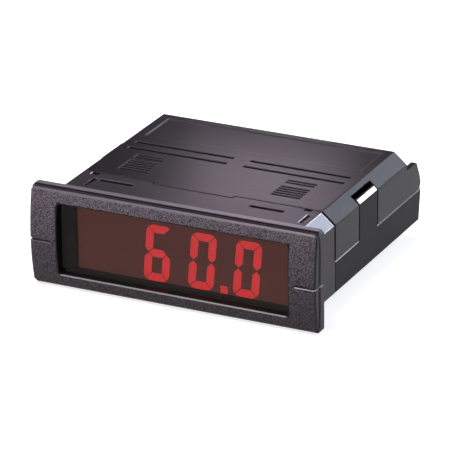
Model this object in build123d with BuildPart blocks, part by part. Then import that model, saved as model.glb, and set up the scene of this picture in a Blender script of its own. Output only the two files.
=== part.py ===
import os
from math import cos, hypot, radians, tan

from build123d import *

# Digital panel meter with a 72 by 24 mm front, in millimetres.
# X runs to the right as seen from the front, Y to the rear and Z up.
# The origin is the centre of the panel cut-out, on the rear face of the bezel's flange.

# Bezel: a front plate stepped in from the flange that lies on the panel, and a collar behind it
bezel_width = 72.0
bezel_height = 24.5
bezel_corner = 0.8
flange_thickness = 1.7
plate_thickness = 1.4
plate_side_step = 0.3
plate_top_step = 0.55
plate_edge = 0.4
plate_crown = 1.25
collar_length = 12.0
collar_relief = 0.5
pry_groove_width = 0.6
pry_groove_depth = 0.4
pry_groove_drop = 0.7
pry_groove_length = 5.4

# Bevelled section that the collar and the case share
case_width = 66.4
case_height = 21.9
bevel_width = 3.3
bevel_height = 2.8
wall = 1.5

# Window, lens and the mask behind it
window_width = 57.8
window_height = 17.2
window_corner = 1.1
window_bevel = 0.3
lens_gap = 0.1
lens_setback = 0.6
lens_land = 1.7
lens_rim_width = 0.6
lens_rim_thickness = 0.8
mask_thickness = 1.5
mask_corner = 1.6
mask_opening_width = 53.4
mask_opening_shift = 0.7
mask_opening_height = 16.2

# Digit display: three full digits behind a leading half digit
display_overlap = 0.6
display_depth = 6.1
digit_height = 13.7
digit_width = 6.4
digit_stroke = 1.9
digit_corner = 1.5
digit_mitre = 45.0
digit_count = 4
digit_pitch = 11.2
digit_slant = 5.0
digit_drop = 1.15
digit_shift = -0.05
segment_gap = 0.14
segment_depth = 0.6
segment_proud = 0.05
point_size = 1.8
point_offset = 5.85

# Case: two snap-together halves that plug into the collar
case_gap = 0.3
case_length = 40.0
seam_drop = 0.6
seam_gap = 0.1
seam_bevel = 0.3
spigot_gap = 0.15
spigot_wall = 1.2
spigot_root = 2.0
key_width = 20.1
key_shift = -1.85
key_length = 1.1

# Hooks of the case that snap into slots of the collar, and blind clip pockets beside them
hook_spread = 37.8
hook_shift = -0.95
hook_width = 8.1
hook_thickness = 1.0
hook_height = 1.1
hook_ramp = 0.4
hook_slot_start = 7.8
hook_slot_width = 1.3
hook_gap = 0.15
clip_pocket_places = (-25.4, 28.2)
clip_pocket_width = 1.0
clip_pocket_start = 4.2
clip_pocket_length = 4.8
clip_pocket_depth = 0.7
release_middle = 26.8
release_width = 1.9
release_length = 1.2
release_depth = 0.5

# Ventilation of the top and bottom
vent_inner_end = 2.1
vent_length = 25.4
vent_width = 1.0
vent_rows = 2
vent_first_row = 17.1
vent_row_pitch = 3.7
grille_inner_edge = 15.6
grille_shift = -0.6
grille_slot_length = 7.3
grille_slot_width = 0.75
grille_first_slot = 4.6
grille_slot_pitch = 1.28
grille_slot_rows = (0, 1, 2, 3, 4, 6, 7)

# Shallow bare panel at the rear of the top
panel_width = 55.4
panel_length = 12.2
panel_depth = 0.3
panel_slope = 45.0
panel_rear_rim = 2.1

# Side latches that hold the halves together
latch_start = 13.2
latch_width = 9.7
latch_gap = 0.5
latch_thickness = 1.45
latch_window_share = 0.64
latch_tip_depth = 0.85
latch_tip_height = 0.95

# Side ears that guard the terminals
ear_length = 8.2
ear_top = 6.6
ear_top_setback = 2.5
ear_knee_height = 3.1
ear_knee_setback = 0.65
ear_bend_height = 1.1
ear_foot_setback = 0.7
base_lean = 1.4

# Printed boards
board_thickness = 1.6
display_board_gap = 0.4
display_board_side_gap = 0.7
display_board_height = 15.8
main_board_width = 58.0
main_board_lift = 1.8
main_board_front_gap = 0.3

# Posts that clamp the main board
post_spread = 52.0
post_first = 3.7
post_clearance = 0.3
boss_width = 4.2
post_pin_width = 1.8
post_pin_height = 1.0
post_width = 2.4
post_step = 2.6
post_gap = 0.1

# Header between the boards and leads of the display
pin_size = 0.6
pin_pitch = 2.54
header_pins_count = 20
header_size = 2.5
header_reach = 0.7
lead_size = 0.5
lead_count = 12
lead_pitch = 4.2
lead_row_height = 6.4

# Converter chip in a dual in-line package
chip_length = 52.0
chip_width = 13.7
chip_height = 3.8
chip_lift = 0.8
chip_rows_apart = 15.24
chip_legs_per_row = 20
chip_leg_width = 0.6
chip_leg_thickness = 0.3
chip_leg_shoulder = 1.9
chip_notch_radius = 1.4
chip_notch_depth = 0.5
chip_middle = 14.5

# Other parts on the main board
resistor_length = 6.3
resistor_radius = 1.15
resistor_lift = 0.2
resistor_count = 4
resistor_pitch = 12.0
resistor_place = 3.7
resistor_lead_size = 0.5
resistor_lead_reach = 0.7
can_radius = 4.0
can_height = 11.5
can_places = (2.0, 11.0)
can_row = 30.7
film_width = 2.6
film_length = 7.2
film_height = 7.0
film_edge = 0.3
film_places = (17.2, 20.8)
film_row = 28.7
regulator_width = 10.0
regulator_body_length = 9.2
regulator_height = 4.4
regulator_tab_length = 6.2
regulator_tab_thickness = 1.3
regulator_hole_radius = 1.8
regulator_place = -22.6
regulator_row = 29.2
regulator_leg_size = 0.8
regulator_leg_pitch = 2.54
regulator_leg_reach = 1.6
regulator_leg_height = 2.4

# Zero and span trimmers with screws that face the rear
trimmer_width = 4.8
trimmer_length = 9.5
trimmer_height = 10.0
trimmer_place = 25.6
trimmer_rear_gap = 0.5
trimmer_edge = 0.3
adjuster_radius = 1.1
adjuster_height = 8.2
adjuster_hole_depth = 3.0
adjuster_end_gap = 0.3
adjuster_reach = 1.2
adjuster_hole_radius = 1.7
running_gap = 0.06
slot_width = 0.5
slot_depth = 0.6

# Terminal block with rising clamps
pole_count = 8
pole_pitch = 5.08
block_end = 0.7
block_set_in = 2.7
block_depth = 9.4
block_height = 10.0
block_front_step = 1.6
block_rear_step = 1.8
block_rear_bevel_height = 3.2
block_floor = 0.5
block_gap = 0.3
cell_front_wall = 2.8
cell_width = 4.0
cell_depth = 5.0
clamp_gap = 0.3
clamp_travel = 1.7
clamp_height = 4.4
clamp_depth = 4.0
clamp_top = 0.7
clamp_bottom = 0.6
clamp_side = 0.6
screw_ledge = 0.7
screw_seat_gap = 0.15
screw_head_radius = 1.7
screw_head_height = 1.5
screw_shank_radius = 1.0
contact_width = 1.6
contact_thickness = 0.6
contact_front_wall = 1.0
contact_rear_gap = 0.5
wire_hole = 2.3
wire_funnel = 0.6
shank_hole = 2.6

# Heights and depths that follow from the sizes above
plate_front = -flange_thickness - plate_thickness
crest = plate_front - plate_crown
plate_width = bezel_width - 2 * plate_side_step
plate_height = bezel_height - 2 * plate_top_step
crown_radius = (plate_height**2 / 4 + plate_crown**2) / (2 * plate_crown)
rim_width = window_width + 2 * lens_rim_width
rim_height = window_height + 2 * lens_rim_width
lens_seat = plate_front + lens_land
mask_front = lens_seat + lens_rim_thickness
display_face = mask_front + mask_thickness
display_rear = display_face + display_depth
display_board_front = display_rear + display_board_gap
display_board_rear = display_board_front + board_thickness
case_front = collar_length + case_gap
case_rear = case_front + case_length
rear_wall_front = case_rear - wall
ear_rear = case_rear + ear_length
ceiling = case_height / 2 - wall
floor = -ceiling
seam_top = -seam_drop + seam_gap / 2
seam_bottom = -seam_drop - seam_gap / 2
main_board_bottom = floor + main_board_lift
main_board_top = main_board_bottom + board_thickness
main_board_front = display_board_rear + main_board_front_gap
block_front = case_rear - block_set_in
block_rear = block_front + block_depth
block_top = main_board_top + block_height
block_width = pole_count * pole_pitch + 2 * block_end
cell_front = block_front + cell_front_wall
cell_middle = cell_front + cell_depth / 2
cell_bottom = main_board_top + block_floor
clamp_rest = cell_bottom + clamp_gap
cell_top = clamp_rest + clamp_height + clamp_travel + clamp_gap
ledge_top = cell_top + screw_ledge
screw_seat = ledge_top + screw_seat_gap
clamp_roof = clamp_rest + clamp_height - clamp_top
contact_top = clamp_roof - clamp_gap
contact_bottom = contact_top - contact_thickness
wire_height = (contact_bottom + clamp_rest + clamp_bottom) / 2
trimmer_rear = rear_wall_front - trimmer_rear_gap
adjuster_axis = main_board_top + adjuster_height
adjuster_end = rear_wall_front + adjuster_reach

pole_places = [(n - (pole_count - 1) / 2) * pole_pitch for n in range(pole_count)]
post_rows = (
    case_front + post_first,
    trimmer_rear - trimmer_length - post_clearance - post_width / 2 - post_step,
)
post_places = [(side * post_spread / 2, row) for side in (-1, 1) for row in post_rows]
pin_places = [post_places[0], post_places[-1]]
vent_places = [
    (side * (vent_inner_end + vent_length / 2), case_front + vent_first_row + n * vent_row_pitch)
    for side in (-1, 1)
    for n in range(vent_rows)
]
hook_places = [hook_shift + side * hook_spread / 2 for side in (-1, 1)]
grille_slots = [case_front + grille_first_slot + n * grille_slot_pitch for n in grille_slot_rows]


def across(depth):
    """A plane square to the meter's length, seen from the front, from which extrusions run forward."""
    return Plane.XZ.offset(-depth)


def bevelled_section(inset=0.0, mode=Mode.ADD):
    """The eight-sided case section, set in from its outside, in the open sketch."""
    slope = hypot(bevel_width, bevel_height)
    side, top = case_width / 2 - inset, case_height / 2 - inset
    reach = (bevel_height * case_width / 2 + bevel_width * (case_height / 2 - bevel_height)) / slope - inset
    foot = (reach * slope - bevel_height * side) / bevel_width
    shoulder = (reach * slope - bevel_width * top) / bevel_height
    right = [(shoulder, -top), (side, -foot), (side, foot), (shoulder, top)]
    Polygon(right + [(-x, -z) for x, z in right], mode=mode)


def clipped_rectangle(width, height, clip):
    """A rectangle with small flat corners, in the open sketch."""
    x, z = width / 2, height / 2
    right = [(x - clip, -z), (x, clip - z), (x, z - clip), (x - clip, z)]
    Polygon(right + [(-a, -b) for a, b in right])


def block(low, high, mode=Mode.ADD):
    """A straight-sided solid between two corners, in the open part."""
    with Locations(tuple((a + b) / 2 for a, b in zip(low, high))):
        Box(*[b - a for a, b in zip(low, high)], mode=mode)


def tube_along_y(middle, radius, start, end, mode=Mode.ADD):
    """A round solid along Y about (x, z), in the open part."""
    with BuildSketch(across(end)) as disc:
        with Locations(middle):
            Circle(radius)
    extrude(disc.sketch, amount=end - start, mode=mode)


def finish(part, name):
    """Name a finished piece and write its file."""
    part.label = name
    export_step(part, f"parts/{name}.step")


os.makedirs("parts", exist_ok=True)

# Bezel and collar, one moulding
with BuildPart() as bezel:
    with BuildSketch(across(0)):
        clipped_rectangle(bezel_width, bezel_height, bezel_corner)
    extrude(amount=flange_thickness)
    with BuildSketch(across(-flange_thickness)):
        clipped_rectangle(plate_width, plate_height, bezel_corner)
    extrude(amount=plate_thickness + plate_crown)
    # Front crowned between its top and bottom edges
    with BuildSketch(Plane.YZ):
        with Locations((crest + crown_radius, 0)):
            Circle(crown_radius)
    extrude(amount=bezel_width, both=True, mode=Mode.INTERSECT)
    chamfer(bezel.faces().sort_by(Axis.Y)[0].edges(), plate_edge)
    with BuildSketch(across(collar_length)):
        bevelled_section()
        bevelled_section(wall, Mode.SUBTRACT)
    extrude(amount=collar_length)
    # Pocket for the lens rim and the mask, entered from behind
    with BuildSketch(across(0)):
        clipped_rectangle(rim_width + 2 * lens_gap, rim_height + 2 * lens_gap, mask_corner)
    extrude(amount=-lens_seat, mode=Mode.SUBTRACT)
    with BuildSketch(across(0)):
        RectangleRounded(window_width, window_height, window_corner)
    extrude(amount=-crest, mode=Mode.SUBTRACT)
    chamfer(bezel.faces().sort_by(Axis.Y)[0].inner_wires()[0].edges(), window_bevel)
    # Pry grooves at mid height, on the front and round the sides
    for side in (-1, 1):
        with Locations((side * bezel_width / 2, crest, -pry_groove_drop)):
            Box(2 * pry_groove_length, 2 * pry_groove_depth, pry_groove_width, mode=Mode.SUBTRACT)
        with Locations((side * bezel_width / 2, crest / 2, -pry_groove_drop)):
            Box(2 * (plate_side_step + pry_groove_depth), -crest, pry_groove_width, mode=Mode.SUBTRACT)
    for face in (-1, 1):
        # Keyway for the middle of the case's front edge
        with Locations((key_shift, collar_length, face * (case_height / 2 - wall / 2))):
            Box(key_width + 2 * case_gap, 2 * key_length, wall, mode=Mode.SUBTRACT)
        slot_middle = hook_slot_start + hook_slot_width / 2
        with Locations(*[(place, slot_middle, face * (case_height - wall) / 2) for place in hook_places]):
            Box(hook_width + 2 * hook_gap, hook_slot_width, wall, mode=Mode.SUBTRACT)
        clip_middle = clip_pocket_start + clip_pocket_length / 2
        with Locations(*[(place, clip_middle, face * case_height / 2) for place in clip_pocket_places]):
            Box(clip_pocket_width, clip_pocket_length, 2 * clip_pocket_depth, mode=Mode.SUBTRACT)
        for side in (-1, 1):
            # Notch for the blade that lifts a hook
            with Locations((side * release_middle, collar_length, face * case_height / 2)):
                Box(release_width, 2 * release_length, 2 * release_depth, mode=Mode.SUBTRACT)
    # Sides cut back above the seam, for a blade that parts the case from the collar
    for side in (-1, 1):
        near, far = sorted((side * (case_width / 2 - bevel_width), side * case_width / 2))
        low, high = (near, collar_length - collar_relief, seam_top), (far, collar_length, case_height / 2)
        block(low, high, Mode.SUBTRACT)
finish(bezel.part, "bezel")

# Lens with a rim that seats in the bezel from behind
with BuildPart() as lens:
    with BuildSketch(across(lens_seat)):
        lens_width, lens_height = window_width - 2 * lens_gap, window_height - 2 * lens_gap
        RectangleRounded(lens_width, lens_height, window_corner - lens_gap)
    extrude(amount=lens_land - lens_setback)
    with BuildSketch(across(mask_front)):
        clipped_rectangle(rim_width, rim_height, mask_corner)
    extrude(amount=lens_rim_thickness)
finish(lens.part, "lens")

# Black mask that frames the display
with BuildPart() as display_mask:
    with BuildSketch(across(display_face)):
        clipped_rectangle(rim_width, rim_height, mask_corner)
        with Locations((mask_opening_shift, 0)):
            Rectangle(mask_opening_width, mask_opening_height, mode=Mode.SUBTRACT)
    extrude(amount=mask_thickness)
finish(display_mask.part, "display_mask")

# Seven-segment outlines about a digit's middle, named by the usual letters
half_width = digit_width / 2
half_height = digit_height / 2
cut = digit_corner * (1 - cos(radians(digit_mitre)))
inner = half_width - digit_stroke
top_bar = [
    (half_width - digit_corner, half_height),
    (half_width - cut - segment_gap, half_height - cut),
    (inner - segment_gap, half_height - digit_stroke),
    (segment_gap - inner, half_height - digit_stroke),
    (cut + segment_gap - half_width, half_height - cut),
    (digit_corner - half_width, half_height),
]
left_bar = [
    (-half_width, half_height - digit_corner),
    (cut - half_width, half_height - cut - segment_gap),
    (-inner, half_height - digit_stroke - segment_gap),
    (-inner, digit_stroke / 2 + segment_gap),
    (digit_stroke / 2 - half_width, segment_gap),
    (-half_width, digit_stroke / 2 + segment_gap),
]
middle_bar = [
    (half_width - digit_stroke / 2 - segment_gap, 0),
    (inner - segment_gap, digit_stroke / 2),
    (segment_gap - inner, digit_stroke / 2),
    (digit_stroke / 2 + segment_gap - half_width, 0),
    (segment_gap - inner, -digit_stroke / 2),
    (inner - segment_gap, -digit_stroke / 2),
]
# Each letter is an outline and the way it is turned over, across and up
segments = {
    "a": (top_bar, 1, 1),
    "b": (left_bar, -1, 1),
    "c": (left_bar, -1, -1),
    "d": (top_bar, 1, -1),
    "e": (left_bar, 1, -1),
    "f": (left_bar, 1, 1),
    "g": (middle_bar, 1, 1),
}
digit_places = [(n - (digit_count - 1) / 2) * digit_pitch + digit_shift for n in range(digit_count)]
lit_letters = list(zip(digit_places, ("", "acdefg", "abcdef", "abcdef")))
dark_letters = list(zip(digit_places, ("bcg", "b", "g", "g")))
point_places = [place + point_offset for place in digit_places[:-1]]


def draw_segments(letters, points):
    """Segment and point outlines, leaned over by the slant, in the open sketch."""
    lean = tan(radians(digit_slant))
    for place, names in letters:
        for name in names:
            shape, flip_x, flip_z = segments[name]
            corners = [(x * flip_x, z * flip_z) for x, z in shape]
            Polygon([(place + x + z * lean, z - digit_drop) for x, z in corners])
    for place in points:
        foot = -half_height
        with Locations((place + (foot + point_size / 2) * lean, foot + point_size / 2 - digit_drop)):
            Rectangle(point_size, point_size)


# Display stick with pockets for its segments
with BuildPart() as display_body:
    with BuildSketch(across(display_rear)):
        with Locations((mask_opening_shift, 0)):
            Rectangle(mask_opening_width + 2 * display_overlap, mask_opening_height + 2 * display_overlap)
    extrude(amount=display_depth)
    with BuildSketch(across(display_face + segment_depth)):
        draw_segments(lit_letters + dark_letters, point_places)
    extrude(amount=segment_depth, mode=Mode.SUBTRACT)
finish(display_body.part, "display_body")

with BuildPart() as lit_segments:
    with BuildSketch(across(display_face + segment_depth)):
        draw_segments(lit_letters, point_places[-1:])
    extrude(amount=segment_depth + segment_proud)
finish(lit_segments.part, "lit_segments")

with BuildPart() as dark_segments:
    with BuildSketch(across(display_face + segment_depth)):
        draw_segments(dark_letters, point_places[:-1])
    extrude(amount=segment_depth)
finish(dark_segments.part, "dark_segments")

# Leads between the display stick and its board
with BuildPart() as display_leads:
    with BuildSketch(across(display_board_front)):
        with GridLocations(lead_pitch, 2 * lead_row_height, lead_count, 2):
            Rectangle(lead_size, lead_size)
    extrude(amount=display_board_gap)
finish(display_leads.part, "display_leads")

with BuildPart() as display_board:
    with BuildSketch(across(display_board_rear)):
        Rectangle(case_width - 2 * wall - 2 * display_board_side_gap, display_board_height)
    extrude(amount=board_thickness)
finish(display_board.part, "display_board")

# Main board, narrowed at the rear to pass through the case's rear wall
with BuildPart() as main_board:
    with BuildSketch(Plane.XY.offset(main_board_bottom)):
        wide_end = rear_wall_front - trimmer_rear_gap
        with Locations((0, (main_board_front + wide_end) / 2)):
            Rectangle(main_board_width, wide_end - main_board_front)
        with Locations((0, (main_board_front + block_rear) / 2)):
            Rectangle(block_width, block_rear - main_board_front)
        with Locations(*pin_places):
            Rectangle(post_pin_width + 2 * post_gap, post_pin_width + 2 * post_gap, mode=Mode.SUBTRACT)
    extrude(amount=board_thickness)
finish(main_board.part, "main_board")

# Right-angle header: a plastic strip on the main board and its bent pins
header_rear = display_board_rear + header_size
header_axis = main_board_top + header_size / 2
header_knee = header_rear + header_reach
with BuildPart() as header_strip:
    strip_half = header_pins_count * pin_pitch / 2
    block(
        (-strip_half, display_board_rear, main_board_top),
        (strip_half, header_rear, main_board_top + header_size),
    )
finish(header_strip.part, "header_strip")

with BuildPart() as header_pins:
    for n in range(header_pins_count):
        place = (n - (header_pins_count - 1) / 2) * pin_pitch
        with BuildSketch(Plane.YZ.offset(place - pin_size / 2)):
            Polygon(
                [
                    (header_rear, header_axis - pin_size / 2),
                    (header_rear, header_axis + pin_size / 2),
                    (header_knee + pin_size, header_axis + pin_size / 2),
                    (header_knee + pin_size, main_board_top),
                    (header_knee, main_board_top),
                    (header_knee, header_axis - pin_size / 2),
                ]
            )
        extrude(amount=pin_size)
finish(header_pins.part, "header_pins")

# Converter chip, its long side across the meter
chip_row = case_front + chip_middle
chip_bottom = main_board_top + chip_lift
with BuildPart() as converter_chip:
    with BuildSketch(Plane.XY.offset(chip_bottom)):
        with Locations((0, chip_row)):
            Rectangle(chip_length, chip_width)
    extrude(amount=chip_height)
    with Locations((-chip_length / 2, chip_row, chip_bottom + chip_height)):
        Cylinder(chip_notch_radius, 2 * chip_notch_depth, mode=Mode.SUBTRACT)
finish(converter_chip.part, "converter_chip")

with BuildPart() as converter_legs:
    for side in (-1, 1):
        for n in range(chip_legs_per_row):
            place = (n - (chip_legs_per_row - 1) / 2) * pin_pitch
            root = chip_row + side * chip_width / 2
            knee = chip_row + side * chip_rows_apart / 2
            shoulder = chip_bottom + chip_leg_shoulder
            with BuildSketch(Plane.YZ.offset(place - chip_leg_width / 2)):
                Polygon(
                    [
                        (root, shoulder),
                        (root, shoulder + chip_leg_thickness),
                        (knee + side * chip_leg_thickness, shoulder + chip_leg_thickness),
                        (knee + side * chip_leg_thickness, main_board_top),
                        (knee, main_board_top),
                        (knee, shoulder),
                    ]
                )
            extrude(amount=chip_leg_width)
finish(converter_legs.part, "converter_legs")

# Row of axial resistors across the front of the board
resistor_places = [(n - (resistor_count - 1) / 2) * resistor_pitch for n in range(resistor_count)]
resistor_axis = main_board_top + resistor_lift + resistor_radius
resistor_line = case_front + resistor_place
with BuildPart() as resistors:
    with BuildSketch(Plane.YZ.offset(-resistor_length / 2)):
        with Locations((resistor_line, resistor_axis)):
            Circle(resistor_radius)
    one_resistor = extrude(amount=resistor_length, mode=Mode.PRIVATE)
    with Locations(*[(place, 0, 0) for place in resistor_places]):
        add(one_resistor)
finish(resistors.part, "resistors")

with BuildPart() as resistor_leads:
    for place in resistor_places:
        for side in (-1, 1):
            root = place + side * resistor_length / 2
            knee = root + side * resistor_lead_reach
            with BuildSketch(across(resistor_line + resistor_lead_size / 2)):
                Polygon(
                    [
                        (root, resistor_axis - resistor_lead_size / 2),
                        (root, resistor_axis + resistor_lead_size / 2),
                        (knee + side * resistor_lead_size, resistor_axis + resistor_lead_size / 2),
                        (knee + side * resistor_lead_size, main_board_top),
                        (knee, main_board_top),
                        (knee, resistor_axis - resistor_lead_size / 2),
                    ]
                )
            extrude(amount=resistor_lead_size)
finish(resistor_leads.part, "resistor_leads")

# Supply capacitors: upright cans
with BuildPart() as supply_capacitors:
    with BuildSketch(Plane.XY.offset(main_board_top)):
        with Locations(*[(place, case_front + can_row) for place in can_places]):
            Circle(can_radius)
    extrude(amount=can_height)
finish(supply_capacitors.part, "supply_capacitors")

# Film capacitors in moulded boxes
with BuildPart() as film_capacitors:
    with BuildSketch(Plane.XY.offset(main_board_top)):
        with Locations(*[(place, case_front + film_row) for place in film_places]):
            Rectangle(film_width, film_length)
    extrude(amount=film_height)
    chamfer(film_capacitors.faces().group_by(Axis.Z)[-1].edges(), film_edge)
finish(film_capacitors.part, "film_capacitors")

# Voltage regulator lying on its tab, with the tab as the cooling plate and the legs to the right
regulator_line = case_front + regulator_row
regulator_body_start = regulator_place + regulator_tab_length
regulator_body_end = regulator_body_start + regulator_body_length
regulator_bed = main_board_top + regulator_tab_thickness
with BuildPart() as regulator_tab:
    with BuildSketch(Plane.XY.offset(main_board_top)):
        with Locations(((regulator_place + regulator_body_end) / 2, regulator_line)):
            Rectangle(regulator_body_end - regulator_place, regulator_width)
        with Locations((regulator_place + regulator_tab_length / 2, regulator_line)):
            Circle(regulator_hole_radius, mode=Mode.SUBTRACT)
    extrude(amount=regulator_tab_thickness)
finish(regulator_tab.part, "regulator_tab")

with BuildPart() as regulator_body:
    with BuildSketch(Plane.XY.offset(regulator_bed)):
        with Locations((regulator_body_start + regulator_body_length / 2, regulator_line)):
            Rectangle(regulator_body_length, regulator_width)
    extrude(amount=regulator_height - regulator_tab_thickness)
    chamfer(regulator_body.faces().sort_by(Axis.Z)[-1].edges(), film_edge)
finish(regulator_body.part, "regulator_body")

with BuildPart() as regulator_legs:
    leg_height = main_board_top + regulator_leg_height
    knee = regulator_body_end + regulator_leg_reach
    for n in (-1, 0, 1):
        place = regulator_line + n * regulator_leg_pitch
        with BuildSketch(across(place + regulator_leg_size / 2)):
            Polygon(
                [
                    (regulator_body_end, leg_height),
                    (knee + regulator_leg_size, leg_height),
                    (knee + regulator_leg_size, main_board_top),
                    (knee, main_board_top),
                    (knee, leg_height - regulator_leg_size),
                    (regulator_body_end, leg_height - regulator_leg_size),
                ]
            )
        extrude(amount=regulator_leg_size)
finish(regulator_legs.part, "regulator_legs")

# Zero and span trimmers: a body with a blind hole, and a slotted screw that turns in it
for name, side in (("zero", -1), ("span", 1)):
    place = side * trimmer_place
    with BuildPart() as trimmer:
        with BuildSketch(Plane.XY.offset(main_board_top)):
            with Locations((place, trimmer_rear - trimmer_length / 2)):
                Rectangle(trimmer_width, trimmer_length)
        extrude(amount=trimmer_height)
        chamfer(trimmer.faces().sort_by(Axis.Z)[-1].edges(), trimmer_edge)
        hole_bottom = trimmer_rear - adjuster_hole_depth
        hole_radius = adjuster_radius + running_gap
        tube_along_y((place, adjuster_axis), hole_radius, hole_bottom, trimmer_rear, Mode.SUBTRACT)
    finish(trimmer.part, f"{name}_trimmer")
    with BuildPart() as adjuster:
        tube_along_y((place, adjuster_axis), adjuster_radius, hole_bottom + adjuster_end_gap, adjuster_end)
        with Locations((place, adjuster_end, adjuster_axis)):
            Box(2 * adjuster_radius, 2 * slot_depth, slot_width, mode=Mode.SUBTRACT)
    finish(adjuster.part, f"{name}_adjuster")

# Terminal block: one cell, screw well, contact slot and wire hole for each pole
with BuildPart() as terminal_block:
    with BuildSketch(Plane.YZ.offset(-block_width / 2)):
        Polygon(
            [
                (block_front, main_board_top),
                (block_rear, main_board_top),
                (block_rear, block_top - block_rear_bevel_height),
                (block_rear - block_rear_step, block_top),
                (block_front + block_front_step, block_top),
                (block_front, block_top - block_front_step),
            ]
        )
    extrude(amount=block_width)
    for place in pole_places:
        block(
            (place - cell_width / 2, cell_front, cell_bottom),
            (place + cell_width / 2, cell_front + cell_depth, cell_top),
            Mode.SUBTRACT,
        )
        block(
            (place - contact_width / 2, block_front + contact_front_wall, main_board_top),
            (place + contact_width / 2, cell_front, contact_top),
            Mode.SUBTRACT,
        )
        block(
            (place - wire_hole / 2, cell_front + cell_depth, wire_height - wire_hole / 2),
            (place + wire_hole / 2, block_rear, wire_height + wire_hole / 2),
            Mode.SUBTRACT,
        )
        block(
            (place - shank_hole / 2, cell_middle - shank_hole / 2, cell_top),
            (place + shank_hole / 2, cell_middle + shank_hole / 2, ledge_top),
            Mode.SUBTRACT,
        )
    with BuildSketch(Plane.XY.offset(ledge_top)):
        with Locations(*[(place, cell_middle) for place in pole_places]):
            Circle(screw_head_radius + running_gap)
    extrude(amount=block_top - ledge_top, mode=Mode.SUBTRACT)
    wire_mouths = terminal_block.faces().sort_by(Axis.Y)[-1].inner_wires()
    chamfer([edge for mouth in wire_mouths for edge in mouth.edges()], wire_funnel)
finish(terminal_block.part, "terminal_block")

# Contact bars, each with a leg down to the main board
with BuildPart() as terminal_contacts:
    contact_front = block_front + contact_front_wall
    contact_rear = cell_front + cell_depth - contact_rear_gap
    for place in pole_places:
        with BuildSketch(Plane.YZ.offset(place - contact_width / 2)):
            Polygon(
                [
                    (contact_front, main_board_top),
                    (contact_front, contact_top),
                    (contact_rear, contact_top),
                    (contact_rear, contact_bottom),
                    (contact_front + contact_thickness, contact_bottom),
                    (contact_front + contact_thickness, main_board_top),
                ]
            )
        extrude(amount=contact_width)
finish(terminal_contacts.part, "terminal_contacts")

# Screws that turn in the block, and the clamps that rise on them
for number, place in enumerate(pole_places, start=1):
    with BuildPart() as terminal_screw:
        with BuildSketch(Plane.XY.offset(screw_seat)):
            with Locations((place, cell_middle)):
                Circle(screw_head_radius)
        extrude(amount=screw_head_height)
        with BuildSketch(Plane.XY.offset(clamp_roof)):
            with Locations((place, cell_middle)):
                Circle(screw_shank_radius)
        extrude(amount=screw_seat - clamp_roof)
        with Locations((place, cell_middle, screw_seat + screw_head_height)):
            Box(2 * screw_head_radius, slot_width, 2 * slot_depth, mode=Mode.SUBTRACT)
    finish(terminal_screw.part, f"terminal_screw_{number}")
    with BuildPart() as wire_clamp:
        outer = cell_width / 2 - clamp_gap
        near, far = cell_middle - clamp_depth / 2, cell_middle + clamp_depth / 2
        block((place - outer, near, clamp_rest), (place + outer, far, clamp_rest + clamp_height))
        block(
            (place - outer + clamp_side, near, clamp_rest + clamp_bottom),
            (place + outer - clamp_side, far, clamp_roof),
            Mode.SUBTRACT,
        )
        with BuildSketch(Plane.XY.offset(clamp_roof)):
            with Locations((place, cell_middle)):
                Circle(screw_shank_radius + running_gap)
        extrude(amount=clamp_top, mode=Mode.SUBTRACT)
    finish(wire_clamp.part, f"wire_clamp_{number}")

# Side latches: the tongue of the base closes a window in the side and bevel of the top
side_face = case_width / 2
bevel_foot = case_height / 2 - bevel_height
latch_front = case_front + latch_start
latch_rear = latch_front + latch_width


def case_shell(rear, keep):
    """One half of the hollow case, with its rear wall and the spigot that plugs into the collar."""
    with BuildSketch(across(rear)) as outside:
        bevelled_section()
    extrude(outside.sketch, amount=rear - case_front)
    with BuildSketch(across(rear_wall_front)) as inside:
        bevelled_section(wall)
    extrude(inside.sketch, amount=rear_wall_front - case_front, mode=Mode.SUBTRACT)
    if rear > case_rear:
        with BuildSketch(across(rear)) as tail:
            bevelled_section(wall)
        extrude(tail.sketch, amount=rear - case_rear, mode=Mode.SUBTRACT)
    with BuildSketch(across(case_front + spigot_root)) as root:
        bevelled_section(wall)
        bevelled_section(wall + spigot_gap + spigot_wall, Mode.SUBTRACT)
    extrude(root.sketch, amount=spigot_root)
    with BuildSketch(across(case_front)) as spigot:
        bevelled_section(wall + spigot_gap)
        bevelled_section(wall + spigot_gap + spigot_wall, Mode.SUBTRACT)
    extrude(spigot.sketch, amount=case_front - display_board_rear)
    # Opening of the rear wall round the terminal block and the tail of the board
    half_opening = block_width / 2 + block_gap
    block(
        (-half_opening, rear_wall_front, main_board_bottom - block_gap),
        (half_opening, case_rear, block_top + block_gap),
        Mode.SUBTRACT,
    )
    split(bisect_by=Plane.XY.offset(seam_top if keep == Keep.TOP else seam_bottom), keep=keep)


def front_fittings(face):
    """Key and snap hooks on the front of a case half, above for 1 and below for -1."""
    outer, inner = face * case_height / 2, face * ceiling
    low, high = sorted((outer, inner))
    key_front = collar_length - key_length + case_gap
    block((key_shift - key_width / 2, key_front, low), (key_shift + key_width / 2, case_front, high))
    skin = face * (ceiling - spigot_gap)
    tip = hook_slot_start + hook_gap
    heel = hook_slot_start + hook_slot_width - hook_gap
    for place in hook_places:
        with BuildSketch(Plane.YZ.offset(place - hook_width / 2)) as hook:
            Polygon(
                [
                    (display_board_rear + hook_thickness, skin - face * hook_thickness),
                    (tip, skin - face * hook_thickness),
                    (tip, skin),
                    (heel - hook_ramp, skin + face * hook_height),
                    (heel, skin + face * hook_height),
                    (heel, skin),
                    (display_board_rear + hook_thickness, skin),
                ]
            )
        extrude(hook.sketch, amount=hook_width, dir=(1, 0, 0))


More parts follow.
